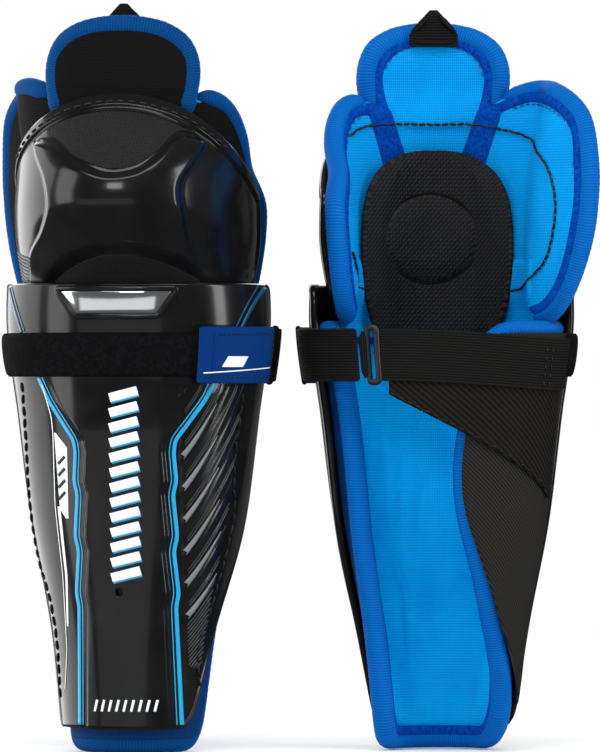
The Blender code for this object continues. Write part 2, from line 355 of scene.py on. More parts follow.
def along(points, length, at):
    """The points of a polyline at distances along it."""
    return np.stack([np.interp(at, length, column) for column in points.T], -1)


def curve_path(points, pitch):
    """A smooth curve through given points, at an even pitch."""
    points = np.asarray(points, float)
    keys = run_length(points)
    rows = np.concatenate([keys[:, None], points], axis=1)
    return even_path(smooth_rows(rows, np.linspace(keys[0], keys[-1], 400)), pitch)


def sideways(points, normals, closed):
    """The direction across a path at each point, along the surface that it lies on."""
    if closed:
        tangent = np.roll(points, -1, 0) - np.roll(points, 1, 0)
    else:
        tangent = np.gradient(points, axis=0)
    return unit(np.cross(unit(tangent), normals))


def normals_on(surface, across, height, offset):
    """The direction out of a surface at each point."""
    return unit(surface(across, height, offset + 0.5) - surface(across, height, offset - 0.5))


def roll_mesh(surface, path, offset, wide, thick, closed=True, ribs=0.0):
    """A padded roll that follows a path on a surface. path holds (across, height) points."""
    across, height = path[:, 0], path[:, 1]
    middle = surface(across, height, offset)
    normal = normals_on(surface, across, height, offset)
    side = sideways(middle, normal, closed)
    turn = np.arange(ROLL_SIDES) * 2 * math.pi / ROLL_SIDES
    count = len(middle)
    size = 1.0 + ribs * np.cos(np.arange(count) * math.pi)
    if not closed:
        ends = np.minimum(np.arange(count), np.arange(count)[::-1])
        size = size * np.sqrt(step(-1.0, 6.0, ends))
    ring = side[:, None] * np.cos(turn)[None, :, None] * wide
    ring = ring + normal[:, None] * np.sin(turn)[None, :, None] * thick
    points = (middle[:, None] + ring * size[:, None, None]).reshape(-1, 3)
    uv = pairs(*np.broadcast_arrays(run_length(middle)[:, None], turn[None] * thick))
    faces = []
    for i in range(count if closed else count - 1):
        here, after = i * ROLL_SIDES, (i + 1) % count * ROLL_SIDES
        for k in range(ROLL_SIDES):
            n = (k + 1) % ROLL_SIDES
            faces.append((here + k, here + n, after + n, after + k))
    if not closed:
        last = (count - 1) * ROLL_SIDES
        faces += [tuple(range(ROLL_SIDES)), tuple(range(last, last + ROLL_SIDES))[::-1]]
    return outward(make_mesh(points, faces, uv.reshape(-1, 2) * CLOTH))


def ribbon_mesh(path, width, lift, thick=0.12, surface=shell_face, shift=0.0):
    """A thin strip along (x, z) points on a surface. width is a number or one for each point."""
    flat = unit(np.gradient(path, axis=0))
    cross = pairs(-flat[:, 1], flat[:, 0])
    width = np.broadcast_to(width, len(path))[:, None, None]
    across = np.linspace(-0.5, 0.5, 4)[None, :, None]
    spots = path[:, None] + cross[:, None] * (shift + across * width)
    x, z = spots[..., 0], spots[..., 1]
    return pad_mesh(surface(x, z, lift), surface(x, z, lift - thick), spots, 2, 0.3)


def stitch_mesh(surface, path, offset, length=3.2, gap=1.5, radius=0.42, wave=0.0, sink=0.35):
    """A run of stitches along (across, height) points: each is a small rounded bead of thread."""
    middle = surface(path[:, 0], path[:, 1], offset)
    normal = normals_on(surface, path[:, 0], path[:, 1], offset)
    distance = run_length(middle)
    sides, rings = 6, 5
    t = np.linspace(-1, 1, rings)
    fat = radius * np.sqrt(np.maximum(0.04, 1 - t**2))
    points, faces = [], []
    for number in range(int(distance[-1] / (length + gap))):
        start = number * (length + gap)
        at = start + length * (0.5 - 0.5 * np.cos(np.linspace(0, math.pi, rings)))
        spine, up = along(middle, distance, at), along(normal, distance, at)
        side = sideways(spine, up, False)
        spine = spine + up * (radius * (1 - t**2) - radius * sink)[:, None]
        spine = spine + side * (wave * (1 if number % 2 else -1) * t)[:, None]
        base = len(points)
        for ring in range(rings):
            for k in range(sides):
                turn = 2 * math.pi * k / sides
                reach = side[ring] * math.cos(turn) + up[ring] * math.sin(turn)
                points.append(spine[ring] + fat[ring] * reach)
        for ring in range(rings - 1):
            for k in range(sides):
                n = (k + 1) % sides
                a, b = base + ring * sides, base + (ring + 1) * sides
                faces.append((a + k, b + k, b + n, a + n))
        last = base + (rings - 1) * sides
        faces += [tuple(range(base, base + sides)), tuple(range(last, last + sides))[::-1]]
    return make_mesh(points, faces)


FRONTNESS = "frontness"


def mark_front(mesh):
    """Stores on each point how far it faces the guard's front, which the binding's painted front
    shade reads.
    """
    kept = mesh.attributes.new(FRONTNESS, "FLOAT", "POINT")
    kept.data.foreach_set("value", -fetch(mesh.vertex_normals, "vector", 3)[:, 1])


# ---------------------------------------------------------------- materials


class Look:
    """A node material under construction."""

    def __init__(self, name, colour, roughness, metallic=0.0, sheen=0.0, coat=0.0, shine=0.5):
        self.material = bpy.data.materials.new(name)
        self.material.use_nodes = True
        self.tree = self.material.node_tree
        self.shader = self.tree.nodes["Principled BSDF"]
        for key, value in {
            "Base Color": (*colour, 1),
            "Roughness": roughness,
            "Metallic": metallic,
            "Sheen Weight": sheen,
            "Coat Weight": coat,
            "Coat Roughness": 0.04,
            "Specular IOR Level": shine,
            "Sheen Tint": (*colour, 1),
        }.items():
            self.shader.inputs[key].default_value = value
        self.coordinate = self.node("ShaderNodeTexCoord")
        self.material.diffuse_color = (*colour, 1)

    def node(self, kind, **inputs):
        made = self.tree.nodes.new(kind)
        for key, value in inputs.items():
            made.inputs[key.replace("_", " ")].default_value = value
        return made

    def link(self, source, target):
        self.tree.links.new(source, target)

    def noise(self, scale, detail=3.0):
        made = self.node("ShaderNodeTexNoise", Scale=scale, Detail=detail)
        self.link(self.coordinate.outputs["Object"], made.inputs["Vector"])
        return made.outputs["Fac"]

    def cells(self, pitch):
        made = self.node("ShaderNodeTexVoronoi", Scale=10.0 / pitch)
        self.link(self.coordinate.outputs["UV"], made.inputs["Vector"])
        return made.outputs["Distance"]

    def waves(self, pitch, direction, distortion):
        """Bands at a pitch in millimetres along the cloth's coordinates, in centimetres."""
        made = self.node("ShaderNodeTexWave", Scale=math.pi / pitch, Distortion=distortion)
        made.bands_direction = direction
        self.link(self.coordinate.outputs["UV"], made.inputs["Vector"])
        return made.outputs["Fac"]

    def math(self, operation, a, b):
        made = self.node("ShaderNodeMath")
        made.operation = operation
        for socket, value in zip(made.inputs, (a, b)):
            if isinstance(value, float):
                socket.default_value = value
            else:
                self.link(value, socket)
        return made.outputs[0]

    def mixed(self, a, share_a, b, share_b):
        """The sum of two factors, each scaled by its share."""
        scaled = self.math("MULTIPLY", a, share_a), self.math("MULTIPLY", b, share_b)
        return self.math("ADD", *scaled)

    def colours(self, factor, low, high, start=0.0, end=1.0):
        """Base colour from one colour to another as factor goes from start to end."""
        ramp = self.node("ShaderNodeValToRGB")
        for stop, place, colour in zip(ramp.color_ramp.elements, (start, end), (low, high)):
            stop.position = place
            stop.color = (*colour, 1)
        self.link(factor, ramp.inputs["Fac"])
        self.link(ramp.outputs["Color"], self.shader.inputs["Base Color"])

    def painted_front_shade(self, share):
        """Paints shade into the base colour: scales it down on the side of a piece that faces the
        guard's front.
        """
        front = self.node("ShaderNodeAttribute")
        front.attribute_name = FRONTNESS
        spread = self.node(
            "ShaderNodeMapRange", From_Min=-0.25, From_Max=0.45, To_Min=1.0, To_Max=share
        )
        self.link(front.outputs["Fac"], spread.inputs["Value"])
        scaled = self.node("ShaderNodeVectorMath")
        scaled.operation = "SCALE"
        base = self.shader.inputs["Base Color"]
        self.link(base.links[0].from_socket, scaled.inputs[0])
        self.link(spread.outputs["Result"], scaled.inputs["Scale"])
        self.link(scaled.outputs["Vector"], base)

    def roughness(self, factor, low, high):
        spread = self.node("ShaderNodeMapRange", To_Min=low, To_Max=high)
        self.link(factor, spread.inputs["Value"])
        self.link(spread.outputs["Result"], self.shader.inputs["Roughness"])

    def bump(self, height, distance, strength):
        made = self.node("ShaderNodeBump", Strength=strength, Distance=distance)
        self.link(height, made.inputs["Height"])
        self.link(made.outputs["Normal"], self.shader.inputs["Normal"])


def shades(colour, share):
    return tuple(c * share for c in colour)


def gloss_plastic(name, colour):
    look = Look(name, colour, 0.16, coat=0.1, shine=0.26)
    mottle = look.noise(60.0, 4.0)
    look.roughness(mottle, 0.12, 0.24)
    look.colours(mottle, colour, shades(colour, 1.6), 0.4, 0.7)
    look.bump(look.noise(900.0, 2.0), 0.00001, 0.5)
    return look.material


def knit(name, dark, light):
    """Brushed jersey over foam: fine courses and wales, with soft colour variation."""
    look = Look(name, light, 0.85, sheen=0.15, shine=0.08)
    cloth = look.math("MULTIPLY", look.waves(1.3, "Y", 0.6), look.waves(1.04, "X", 0.6))
    cloud = look.noise(35.0, 4.0)
    look.colours(look.mixed(cloth, 0.55, cloud, 0.5), dark, light, 0.15, 0.75)
    look.roughness(cloud, 0.75, 0.95)
    look.bump(look.math("ADD", cloth, look.math("MULTIPLY", cloud, 0.6)), 0.0003, 0.8)
    return look.material


def ribbed(name, dark, light, pitch, distance, direction="X", sheen=0.1, front_shade_share=None):
    """Ribbed fabric, such as binding tape or elastic. Its last argument, if given, paints shade by
    dimming the side turned to the front.
    """
    look = Look(name, light, 0.8, sheen=sheen, shine=0.07)
    ribs = look.waves(pitch, direction, 0.3)
    fine = look.noise(1500.0, 2.0)
    mixed = look.mixed(ribs, 0.75, fine, 0.35)
    look.colours(mixed, dark, light, 0.1, 0.9)
    if front_shade_share:
        look.painted_front_shade(front_shade_share)
    look.roughness(fine, 0.65, 0.9)
    look.bump(mixed, distance, 0.8)
    return look.material


def fuzzy(name, dark, light, sheen=0.25):
    """Brushed fabric, or the loop side of a hook and loop fastener."""
    look = Look(name, light, 0.95, sheen=sheen, shine=0.05)
    hair = look.noise(2200.0, 4.0)
    mixed = look.mixed(hair, 0.8, look.cells(1.6), 0.5)
    look.colours(mixed, dark, light, 0.35, 0.95)
    look.roughness(hair, 0.85, 1.0)
    look.bump(mixed, 0.0008, 0.9)
    return look.material


def spacer_mesh(name, dark, light, pitch):
    """Open mesh fabric: staggered rows of small holes."""
    look = Look(name, light, 0.75, sheen=0.05, shine=0.2)
    rows, wales = look.waves(pitch, "Y", 0.5), look.waves(pitch * 0.8, "X", 0.5)
    cross = look.math("ADD", look.waves(pitch * 0.7, "DIAGONAL", 0.4), 0.25)
    holes = look.math("MULTIPLY", look.math("MAXIMUM", rows, wales), cross)
    look.colours(holes, dark, light, 0.1, 0.8)
    look.roughness(look.noise(300.0), 0.6, 0.85)
    look.bump(holes, 0.0003, 0.8)
    return look.material


def bright_metal(name, colour):
    look = Look(name, colour, 0.1, metallic=1.0)
    brushed = look.noise(400.0, 4.0)
    look.roughness(brushed, 0.06, 0.16)
    look.bump(brushed, 0.00002, 0.3)
    return look.material


def ink(name, colour, roughness=0.3):
    look = Look(name, colour, roughness, coat=0.15)
    speck = look.noise(1200.0, 2.0)
    look.colours(speck, shades(colour, 0.85), colour, 0.2, 0.6)
    look.roughness(speck, roughness * 0.8, roughness * 1.3)
    return look.material


def moulded(name, colour, roughness):
    look = Look(name, colour, roughness)
    grain = look.noise(1800.0)
    look.roughness(grain, roughness * 0.8, min(1.0, roughness * 1.25))
    look.bump(grain, 0.00005, 0.5)
    return look.material


def make_looks():
    """Each look's slot and its material."""
    grey = lambda value: (value, value, value)
    return {
        "shell": ("gloss_black", gloss_plastic("gloss_black", (0.005, 0.005, 0.0053))),
        "knit": ("blue_knit", knit("blue_knit", (0.0, 0.22, 0.62), (0.0, 0.42, 0.93))),
        # A lighter copy of the blue knit for the shin liner's pad: painted light.
        "painted_light_knit": ("blue_knit", knit("painted_light_knit", (0.0, 0.28, 0.76), (0.0, 0.55, 1.0))),
        # The binding's colour is scaled down on its front-facing side: painted shade.
        "rim": (
            "blue_binding",
            ribbed("blue_binding", (0.0, 0.07, 0.31), (0.0, 0.13, 0.48), 1.3, 0.0001, front_shade_share=0.42),
        ),
        # A darker copy of the binding blue for the liner's outer face: painted shade.
        "painted_shade_binding": (
            "blue_binding",
            ribbed("painted_shade_blue_binding", (0.0, 0.022, 0.095), (0.0, 0.032, 0.13), 1.3, 0.0001),
        ),
        "rough": ("blue_knit", fuzzy("blue_brushed", (0.0, 0.02, 0.2), (0.0, 0.085, 0.48))),
        "panel": (
            "black_fabric",
            ribbed("black_fabric", grey(0.002), grey(0.006), 1.1, 0.00012, "Y", 0.03),
        ),
        "elastic": (
            "black_elastic",
            ribbed("black_elastic", grey(0.002), (0.012, 0.0115, 0.011), 1.3, 0.0002, "Y", 0.05),
        ),
        "gusset": (
            "black_elastic",
            ribbed(
                "ribbed_elastic", grey(0.003), (0.013, 0.012, 0.011), 1.5, 0.0002, "DIAGONAL", 0.05
            ),
        ),
        "wrap": (
            "black_fabric",
            ribbed(
                "woven_black", (0.0065, 0.0062, 0.006), (0.025, 0.024, 0.023), 1.0, 0.0001,
                "DIAGONAL", 0.03,
            ),
        ),
        "loop": (
            "black_fabric",
            fuzzy("black_loop", (0.0012, 0.0012, 0.0014), (0.0065, 0.0065, 0.0075), 0.03),
        ),
        "mesh": (
            "black_fabric",
            spacer_mesh("black_mesh", grey(0.0015), (0.016, 0.015, 0.0145), 1.9),
        ),
        "fine_mesh": (
            "black_fabric",
            spacer_mesh("cap_mesh", grey(0.003), (0.016, 0.016, 0.017), 1.1),
        ),
        "hatch": ("gloss_black", ink("hatch_grey", (0.035, 0.036, 0.038), 0.35)),
        # Grey ink for the wedges at the ribs' starts: painted highlights.
        "painted_highlight_grey": ("gloss_black", ink("painted_highlight_grey_ink", (0.19, 0.2, 0.21), 0.35)),
        "chrome": ("chrome", bright_metal("chrome", (0.78, 0.79, 0.81))),
        "cyan": ("gloss_black", ink("cyan_ink", (0.0, 0.35, 0.66))),
        # A darker copy of the cyan ink for the stripes' top ends, where the shell turns away:
        # painted shade.
        "painted_shade_cyan": ("gloss_black", ink("painted_shade_cyan_ink", (0.0, 0.075, 0.17))),
        "white": ("gloss_black", ink("white_ink", (0.86, 0.88, 0.9))),
        "bezel": ("black_plastic", gloss_plastic("bezel_black", (0.006, 0.006, 0.0065))),
        "plastic": ("black_plastic", moulded("black_plastic", grey(0.008), 0.4)),
        "tab": (
            "tab_fabric",
            ribbed("tab_fabric", (0.0, 0.024, 0.13), (0.0, 0.034, 0.17), 0.9, 0.00004, "Y", 0.0),
        ),
        "thread": ("black_fabric", moulded("black_thread", grey(0.005), 0.55)),
        "blue_thread": ("blue_binding", moulded("blue_thread", (0.0, 0.06, 0.36), 0.6)),
    }


# ---------------------------------------------------------------- placing

KNEE_AXIS = Vector((0.0, -25.0, 222.0))
PIECES = []


def guard_matrix(guard):
    """Where a guard stands, read from its knee joint in the record."""
    joint = next(j for j in frame["joints"] if j["name"] == guard + "_knee_flex")
    turn = math.atan2(-joint["axis"][1], -joint["axis"][0])
    spin = Matrix.Rotation(turn, 4, "Z")
    return Matrix.Translation(Vector(joint["pos_m"])) @ spin @ Matrix.Translation(-KNEE_AXIS * MM)


def show(name, data):
    """A new object in the scene."""
    made = bpy.data.objects.new(name, data)
    bpy.context.scene.collection.objects.link(made)
    return made


def add(name, mesh, look, body, nodes=(), blend=None, fill=None, sheet=None):
    """Records a piece of each guard.

    body is what it rides on. blend, if given, is a second body and the two ends of the change.
    """
    PIECES.append((name, mesh, look, body, nodes, blend, fill, sheet))


def place_pieces(looks):
    for name, mesh, look, body, nodes, blend, fill, sheet in PIECES:
        slot, material = looks[look]
        mesh.materials.clear()
        mesh.materials.append(material)
        # The binding's painted front shade reads how far each point faces the front.
        if look == "rim":
            mark_front(mesh)
        for guard in GUARDS:
            piece = show(guard + "_" + name + "_skin", mesh.copy() if blend else mesh)
            where = guard_matrix(guard)
            piece.matrix_world = where
            if blend:
                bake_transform(piece)
            else:
                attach(piece, guard + "_" + body)
            if nodes:
                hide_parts(*[guard + "_" + n for n in nodes])


# ---------------------------------------------------------------- cloth


def puff(mesh, cap):
    """Inflates a closed pad as cloth. cap is how far a point may move, in millimetres."""
    piece = show("pad_in_cloth", mesh)
    rest = fetch(mesh.vertices, "co", 3)
    cloth = piece.modifiers.new("cloth", "CLOTH")
    settings = cloth.settings
    settings.quality = 6
    settings.mass = 0.15
    settings.tension_stiffness = 12
    settings.compression_stiffness = 12
    settings.bending_stiffness = 0.4
    settings.use_pressure = True
    settings.uniform_pressure_force = 3.0
    settings.effector_weights.gravity = 0
    cloth.collision_settings.use_collision = False
    scene = bpy.context.scene
    for number in range(1, CLOTH_FRAMES + 1):
        scene.frame_set(number)
    graph = bpy.context.evaluated_depsgraph_get()
    result = bpy.data.meshes.new_from_object(piece.evaluated_get(graph))
    bpy.data.objects.remove(piece)
    scene.frame_set(1)
    shift = fetch(result.vertices, "co", 3) - rest
    length = np.linalg.norm(shift, axis=1, keepdims=True)
    shift *= np.minimum(1.0, cap * MM / np.maximum(length, 1e-9))
    result.vertices.foreach_set("co", (rest + shift).ravel())
    return result


# ---------------------------------------------------------------- shapes


def corner_inset(z, low, high, radius):
    """How far a rounded corner pulls a side in at each height."""
    near = np.minimum(z - low, high - z)
    short = np.clip(radius - near, 0, radius)
    return radius - np.sqrt(np.maximum(radius**2 - short**2, 0))


def even_rows(rows, columns, squeeze=0.7):
    """u and v over a patch, with closer rows towards the top and bottom."""
    t = np.linspace(0, 1, rows + 1)
    v = t * (1 - squeeze) + squeeze * (1 - np.cos(math.pi * t)) / 2
    return np.meshgrid(np.linspace(0, 1, columns + 1), v)


def crown(u, v, power=0.35):
    """How full a pad stands, from 0 at its border to 1 in the middle."""
    return (4 * u * (1 - u)) ** power * (4 * v * (1 - v)) ** power


def edged_patch(
    surface, sides, low, high, outer, inner, rows, columns,
    radius=0.0, scale=1.0, fat=0.0, under=0.0, turns=4, bulge=1.0,
):
    """A patch between two side curves. fat and under fill it out in the middle of its two faces."""
    left, right = sides
    u, v = even_rows(rows, columns)
    z = low + (high - low) * v
    inset = corner_inset(z, low, high, radius) / scale if radius else 0.0
    a, b = left(z) + inset, right(z) - inset
    across = a + (b - a) * u
    full = crown(u, v)
    base = surface(across, z, inner - under * full)
    return pad_mesh(
        surface(across, z, outer + fat * full), base, pairs(across * scale, z), turns, bulge
    )


def fixed(low, high):
    """Two straight upright sides."""
    return lambda z: np.full_like(z, low), lambda z: np.full_like(z, high)


def mirrored(rows):
    """Two sides at the same distance from the middle, read from rows of height and distance."""
    return lambda z: -linear(rows, z), lambda z: linear(rows, z)


def slanted(low, high, slope, start):
    return lambda z: low + slope * (z - start), lambda z: high + slope * (z - start)


def edges(rows):
    """The two side curves that rows of height, outer angle and inner angle give."""
    return lambda z: -1 * smooth_rows(rows, z)[..., 0], lambda z: smooth_rows(rows, z)[..., 1]


def narrowed(sides, by):
    left, right = sides
    return lambda z: left(z) + by, lambda z: right(z) - by


def outline(sides, low, high, radius, scale, pitch):
    """A closed path round a patch with rounded corners."""
    left, right = sides
    z = low + (high - low) * (1 - np.cos(np.linspace(0, math.pi, 160))) / 2
    inset = corner_inset(z, low, high, radius) / scale
    a, b = pairs((left(z) + inset) * scale, z), pairs((right(z) - inset) * scale, z)
    path = even_path(np.concatenate([a, b[::-1]]), pitch, True)
    path[:, 0] /= scale
    return path


def soften(path, turns=6, closed=True):
    """A path with its corners eased."""
    for _ in range(turns):
        before, after = np.roll(path, 1, 0), np.roll(path, -1, 0)
        eased = (before + 2 * path + after) / 4
        if not closed:
            eased[0], eased[-1] = path[0], path[-1]
        path = eased
    return path


def joined(meshes):
    """One mesh from several."""
    points, faces, uv, base = [], [], [], 0
    for mesh in meshes:
        points.append(fetch(mesh.vertices, "co", 3) / MM)
        faces += [tuple(base + v for v in p.vertices) for p in mesh.polygons]
        base += len(mesh.vertices)
        if len(mesh.uv_layers):
            flat = np.zeros((len(mesh.vertices), 2))
            corner = fetch(mesh.loops, "vertex_index", 1, np.int32)[:, 0]
            flat[corner] = fetch(mesh.uv_layers[0].data, "uv", 2)
            uv.append(flat)
        bpy.data.meshes.remove(mesh)
    return make_mesh(np.concatenate(points), faces, np.concatenate(uv) if uv else None)


SHELL_SIDES = edges(SHELL_EDGES)
LINER_SIDES = edges(LINER_EDGES)


# ---------------------------------------------------------------- the shin


def wrapped_relief(angle, z):
    """Relief at an angle, carried on round the side of the leg."""
    half = smooth_rows(SHIN, z)[..., 0]
    beyond = np.abs(angle) > 90
    x = half * np.sin(np.radians(angle))
    x = np.where(beyond, np.sign(angle) * (2 * half - np.abs(x)), x)
    return relief(x, z)


def shell():
    low, high = SHELL_BOTTOM, 222.0
    u, v = even_rows(250, 210, 0.12)
    z = low + (high - low) * v
    inset = corner_inset(z, low - 1, 400, 11.0) + corner_inset(z, -400, high + 0.3, 9.0)
    left, right = narrowed(SHELL_SIDES, inset / 0.75)
    a, b = left(z), right(z)
    angle = a + (b - a) * u
    edge = np.minimum(u, 1 - u) * 210 + 0.5
    lip = 0.5 * np.exp(-((edge - 2.5) ** 2) / 3.0)
    outer = shin(angle, z, wrapped_relief(angle, z) + lip)
    mesh = pad_mesh(outer, shin(angle, z, -SHELL_WALL), pairs(angle, z), 3, 0.7)
    add("shell", drilled(mesh, VENT_HEIGHT, 2.1), "shell", "shin", ["shin_shell"])


def drilled(mesh, height, radius):
    """A mesh with a round vent hole through its front."""
    points, faces, count = [], [], 32
    for y in (-80.0, -20.0):
        for k in range(count):
            turn = 2 * math.pi * k / count
            points.append((radius * math.cos(turn), y, height + radius * math.sin(turn)))
    for k in range(count):
        n = (k + 1) % count
        faces.append((k, n, count + n, count + k))
    faces += [tuple(range(count))[::-1], tuple(range(count, 2 * count))]
    body = show("drilled", mesh)
    drill = show("drill", outward(make_mesh(points, faces)))
    cut = body.modifiers.new("vent", "BOOLEAN")
    cut.operation = "DIFFERENCE"
    cut.object = drill
    cut.solver = "EXACT"
    graph = bpy.context.evaluated_depsgraph_get()
    result = bpy.data.meshes.new_from_object(body.evaluated_get(graph))
    bpy.data.objects.remove(body)
    bpy.data.objects.remove(drill)
    return result


# Fine lines beside the label: points, and the width each starts with.
LABEL_LINES = (
    (
        (
            (-38.5, 175), (-33.8, 160), (-33.0, 152), (-32.8, 118), (-29.5, 84), (-28.5, 48),
            (-30.5, 30),
        ),
        0.45,
    ),
    (((-30.6, 117), (-29.0, 100), (-27.4, 84), (-27.6, 60)), 1.5),
)


def between(rows, low, high):
    """The stripe's points between two heights, top first."""
    z = np.linspace(high, low, 90)
    return np.stack([linear([(h, x) for x, h in rows], z), z], -1)


def prints():
    """The stripes, bars and label printed on the shell, the stripes' top ends darker as painted
    shade, and what shows through the vent hole.
    """
    cyan, deep, white, black = [], [], [], []
    for sign in (1, -1):
        rows = [(MIDDLE + sign * x, z) for x, z in STRIPE]
        # The stripes' top ends go into deep, in the darker cyan that paints shade there.
        for low, high, wide, tone in ((13.4, 178.4, 1.7, cyan), (199.5, 221.0, 1.1, deep)):
            path = soften(even_path(between(rows, low, high), 1.0), 3, False)
            tone.append(ribbon_mesh(path, wide, 0.3))
            tone.append(ribbon_mesh(path, 0.45, 0.3, shift=-2.0 * sign))
    for number in range(13):
        low = 83.5 + 7.1 * number
        path = even_path([(-3.4, low), (9.6, low + 3.4)], 0.9)
        white.append(ribbon_mesh(path, 4.3, 0.5))
        cyan.append(ribbon_mesh(path + [(0.35, -0.35)], 5.2, 0.36))
    left = ((111, -26.5), (116, -30.0), (145, -31.8), (152, -32.2))
    right = ((111, -25.6), (145, -25.6), (152, -31.6))
    sides = lambda z: linear(left, z), lambda z: linear(right, z)
    white.append(edged_patch(shell_face, sides, 111.5, 152, 0.32, 0.1, 60, 10, turns=2))
    for number in range(4):
        rise = 5.6 * number
        path = even_path([(-30.4, 120.5 + rise), (-26.8, 124.0 + rise)], 0.7)
        black.append(ribbon_mesh(path, 1.5, 0.5, 0.15))
    for rows, wide in LABEL_LINES:
        path = soften(even_path(rows, 1.0), 6, False)
        white.append(ribbon_mesh(path, wide * np.linspace(1.0, 0.6, len(path)), 0.3))
    for number in range(9):
        x = -12.5 + 3.4 * number
        white.append(ribbon_mesh(even_path([(x, 20.0), (x + 1.3, 25.5)], 0.8), 1.1, 0.35))
    add("stripes", joined(cyan), "cyan", "shin")
    add("upper_stripes", joined(deep), "painted_shade_cyan", "shin")
    add("marks", joined(white), "white", "shin")
    add("label_marks", joined(black), "plastic", "shin")
    hatching()
    low, high = VENT_HEIGHT - 4.0, VENT_HEIGHT + 4.0
    backing = edged_patch(shin, fixed(-5.0, 5.0), low, high, -3.25, -3.8, 8, 8)
    add("vent_backing", backing, "plastic", "shin")


def hatching():
    """Fine raised lines below and along the ribs, and the grey wedge painted as a highlight where
    each rib starts.
    """
    lines, wedges = [], []

    def beside(phase, first, width, lift, last=36.0):
        out = np.linspace(first, last, 80)
        z = phase + 1.25 * out + 0.026 * out * out
        x = out + RIBS_FROM
        keep = (z > 42 - 0.55 * out) & (x < smooth_rows(SHIN, z)[..., 0] - 5.0) & (z < 176)
        if keep.sum() < 6:
            return []
        path = even_path(pairs(x[keep], z[keep]), 0.9)
        return [ribbon_mesh(path, np.linspace(*width, len(path)), lift, 0.2)]

    for number in range(26):
        lines += beside(58.5 - 1.9 * number, 1.6, (0.5, 0.5), 0.25)
    for number in range(4, 11):
        phase = number * RIB_PITCH
        for shift in (0.75, 6.2, 7.6):
            lines += beside(phase + shift, 2.4, (0.32, 0.32), 0.25)
        if number < 10:
            # Tapered grey wedges at each rib's start: painted highlights.
            wedges += beside(phase + 2.6, 1.6, (2.1, 0.2), 0.22, 16.0)
            wedges += beside(phase + 0.6, 1.9, (0.6, 0.2), 0.3, 12.0)
    add("hatching", joined(lines), "hatch", "shin")
    add("rib_highlights", joined(wedges), "painted_highlight_grey", "shin")


def badge():
    ring = [(-19.9, 207.2), (19.9, 207.2), (28.9, 220.4), (-28.9, 220.4)]
    path = soften(even_path(ring, 0.9, True), 4)
    bezel = roll_mesh(shell_face, path, 1.2, 1.5, 1.25)
    sides = mirrored([(207.2, 19.9), (220.4, 28.9)])
    back = edged_patch(shell_face, sides, 207.2, 220.4, 1.1, 0.2, 8, 40)
    add("bezel", joined([bezel, back]), "bezel", "shin", ["badge_frame"])
    sides = mirrored([(208.6, 18.9), (219.2, 26.2)])
    plate = edged_patch(shell_face, sides, 208.6, 219.2, 1.5, 0.9, 20, 60, fat=0.9, radius=1.2)
    add("plate", plate, "chrome", "shin", ["badge_plate"])


SHELL_SEAMS = (
    ((-51, 176), (-50, 149), (-49.5, 118), (-45.5, 91), (-39, 73), (-36, 58), (-34.5, 24)),
    (
        (54.5, 171), (50, 136), (49, 112), (46, 97), (41.5, 79), (38, 65.5), (34, 52), (33.5, 26),
    ),
)


def shell_stitches():
    runs = []
    for rows in SHELL_SEAMS:
        path = curve_path(rows, 0.8)
        half = smooth_rows(SHIN, path[:, 1])[..., 0]
        path[:, 0] = np.clip(path[:, 0], -0.975 * half, 0.975 * half)
        runs.append(stitch_mesh(shell_face, path, 0.15, 5.0, 0.8, 0.55, 0.55))
    add("shell_stitching", joined(runs), "thread", "shin")


def shin_liner():
    wide = 0.85
    pad = edged_patch(
        shin, narrowed(LINER_SIDES, 3.0), 7.5, LINER_TOP, LINER_OUT - 2.4, LINER_IN + 3.4, 90, 130,
        radius=9.0, scale=wide, under=3.0,
    )
    # The pad wears the lighter copy of the knit, which paints light into its colour.
    add("liner_pad", puff(pad, 1.6), "painted_light_knit", "shin", ["shin_liner"], fill=0.6)
    # The cover on the liner's outer face wears the darker binding blue, which paints shade there.
    cover = edged_patch(
        shin, narrowed(LINER_SIDES, 2.6), 6.8, LINER_TOP, LINER_OUT - 0.1, LINER_OUT - 0.9, 60, 90,
        radius=9.0, scale=wide,
    )
    add("liner_cover", cover, "painted_shade_binding", "shin", fill=0.3)
    path = soften(outline(LINER_SIDES, 4.4, LINER_TOP + 2.0, 13.0, wide, 1.6), 8)
    rim = roll_mesh(shin, path, (LINER_OUT + LINER_IN) / 2, 4.5, 5.3, ribs=RIM_RIBS)
    add("liner_rim", rim, "rim", "shin", ["shin_binding"], fill=0.5)
    # A dark brushed band along the rim's inner edge; its darkness also stands in for the shade
    # there, so it is partly painted shade.
    path = soften(outline(narrowed(LINER_SIDES, 4.0), 8.4, LINER_TOP - 2.0, 11, wide, 1.6), 8)
    add("liner_tape_and_shade", roll_mesh(shin, path, LINER_IN + 0.3, 2.4, 1.2), "rough", "shin", fill=0.2)
    path = soften(outline(narrowed(LINER_SIDES, 5.6), 10.0, LINER_TOP - 4.5, 10, wide, 0.8), 6)
    add("liner_stitching", stitch_mesh(shin, path, LINER_IN - 0.5, *SEWN), "blue_thread", "shin")


def calf_wrap():
    sides = lambda z: LINER_SIDES[0](z) - 2.0, lambda z: SHELL_SIDES[0](z) + 2.0
    wrap = edged_patch(
        shin, sides, 22.0, LINER_TOP, -1.0, -2.0, 80, 50, fat=1.2, under=-0.6, radius=6.0, scale=0.9
    )
    sheet = ((0.06, 0.177), "stretched", 0.0076)
    add("calf_wrap", wrap, "wrap", "shin", ["calf_wrap"], sheet=sheet)


STRAP_JOIN = -113.5
STRAP_RISE = (177.2, 200.8)


